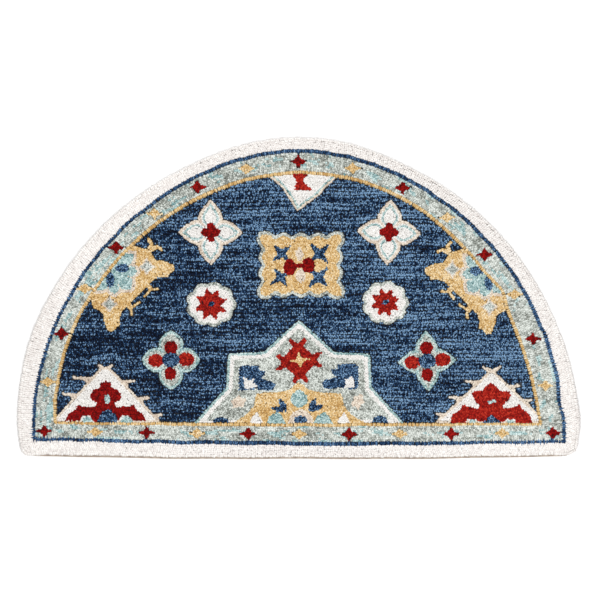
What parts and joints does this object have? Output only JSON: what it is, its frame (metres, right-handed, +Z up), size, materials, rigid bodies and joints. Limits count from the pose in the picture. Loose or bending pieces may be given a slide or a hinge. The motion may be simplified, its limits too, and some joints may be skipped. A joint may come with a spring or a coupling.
{
  "type": "half-round hand-tufted hearth rug",
  "caption": "Half-round hand-tufted wool hearth rug that lies flat on its backing, with a rounded pile edge and a patterned face.",
  "frame": {"origin": "on the floor under the middle of the rug's box", "axes": "+X along the flat edge, +Y from the flat edge to the top of the arch, +Z up out of the pile"},
  "size_m": [1.067, 0.61, 0.012],
  "materials": {
    "wool_pile": "short cut and looped wool pile, matt, in navy, cream, sage, sky blue, gold and red yarns",
    "backing_cloth": "plain woven cotton backing cloth, matt, undyed"
  },
  "bodies": {
    "root": {"rug": "wool_pile"}
  },
  "joints": []
}
